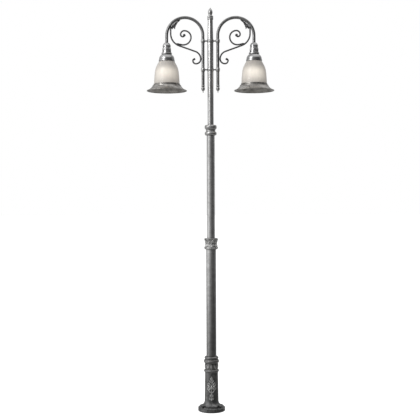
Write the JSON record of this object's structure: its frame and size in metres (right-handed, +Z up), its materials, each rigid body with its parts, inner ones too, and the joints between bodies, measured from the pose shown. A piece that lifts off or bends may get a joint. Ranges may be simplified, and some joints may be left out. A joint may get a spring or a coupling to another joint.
{
  "type": "street lamp post",
  "caption": "Free-standing lamp post: round bolted foot, stepped pole with ornamented collars, and scrolled hoop arms that carry hanging bell-shaped glass shades.",
  "frame": {"origin": "centre of the foot's underside, on the ground", "axes": "+Z up the pole; arms reach out along +X and -X; +Y towards the back, where the set screws are"},
  "size_m": [0.8094, 0.255, 2.555],
  "materials": {
    "patina_iron": "silver rubbed over black, worn and mottled",
    "patina_steel": "silver rubbed over black, satin, mottled",
    "patina_casting": "antique silver over black, satin",
    "screw_steel": "blackened",
    "zinc_steel": "zinc plated",
    "brass": "bright",
    "porcelain": "glazed white",
    "terminal_plastic": "moulded, ivory",
    "rubber": "matt black",
    "frosted_glass": "frosted, clouded warm white, lit from inside",
    "bulb_glass": "pearl, lit warm white"
  },
  "bodies": {
    "post": {"base_column": "patina_iron", "base_collar": "patina_casting", "lower_pole": "patina_steel", "mid_collar": "patina_casting", "mid_pole": "patina_steel", "upper_collar": "patina_casting", "collar_screws": "screw_steel", "wiring_bridge": "zinc_steel", "bridge_screws": "screw_steel", "terminal_block": "terminal_plastic", "cable_grommet": "rubber"},
    "head": {"upper_pole": "patina_steel", "mast_tip": "patina_steel", "top_cap": "patina_casting", "top_finial": "patina_casting", "upper_band": "patina_casting", "lower_band": "patina_casting", "cross_studs": "patina_steel", "ring_screws": "screw_steel", "nipple_nuts": "brass", "glass_screws": "screw_steel", "skirt_clips": "zinc_steel", "clip_screws": "screw_steel", "left_lower_ring": "patina_casting", "left_upper_ring": "patina_casting", "left_arm_tube": "patina_steel", "left_arm_spear": "patina_casting", "left_scroll_bar": "patina_steel", "left_volute": "patina_steel", "left_scroll_leaf": "patina_casting", "left_neck_housing": "patina_casting", "left_fitter": "patina_casting", "left_fitter_gasket": "rubber", "left_glass_shade": "frosted_glass", "left_skirt": "patina_casting", "left_skirt_gasket": "rubber", "left_nipple": "zinc_steel", "left_lampholder": "porcelain", "left_lampholder_shell": "brass", "right_lower_ring": "patina_casting", "right_upper_ring": "patina_casting", "right_arm_tube": "patina_steel", "right_arm_spear": "patina_casting", "right_scroll_bar": "patina_steel", "right_volute": "patina_steel", "right_scroll_leaf": "patina_casting", "right_neck_housing": "patina_casting", "right_fitter": "patina_casting", "right_fitter_gasket": "rubber", "right_glass_shade": "frosted_glass", "right_skirt": "patina_casting", "right_skirt_gasket": "rubber", "right_nipple": "zinc_steel", "right_lampholder": "porcelain", "right_lampholder_shell": "brass"},
    "left_bulb": {"left_bulb_cap": "brass", "left_bulb_glass": "bulb_glass"},
    "right_bulb": {"right_bulb_cap": "brass", "right_bulb_glass": "bulb_glass"}
  },
  "joints": [
    {"name": "head_swivel", "type": "hinge", "parent": "post", "child": "head", "pos_m": [0, 0, 1.774], "axis": [0, 0, 1], "range_deg": [-180, 180]},
    {"name": "left_bulb_turn", "type": "hinge", "parent": "head", "child": "left_bulb", "pos_m": [-0.2772, 0, 2.2], "axis": [0, 0, 1], "range_deg": [-1080, 0]},
    {"name": "right_bulb_turn", "type": "hinge", "parent": "head", "child": "right_bulb", "pos_m": [0.2772, 0, 2.2], "axis": [0, 0, 1], "range_deg": [-1080, 0]}
  ]
}
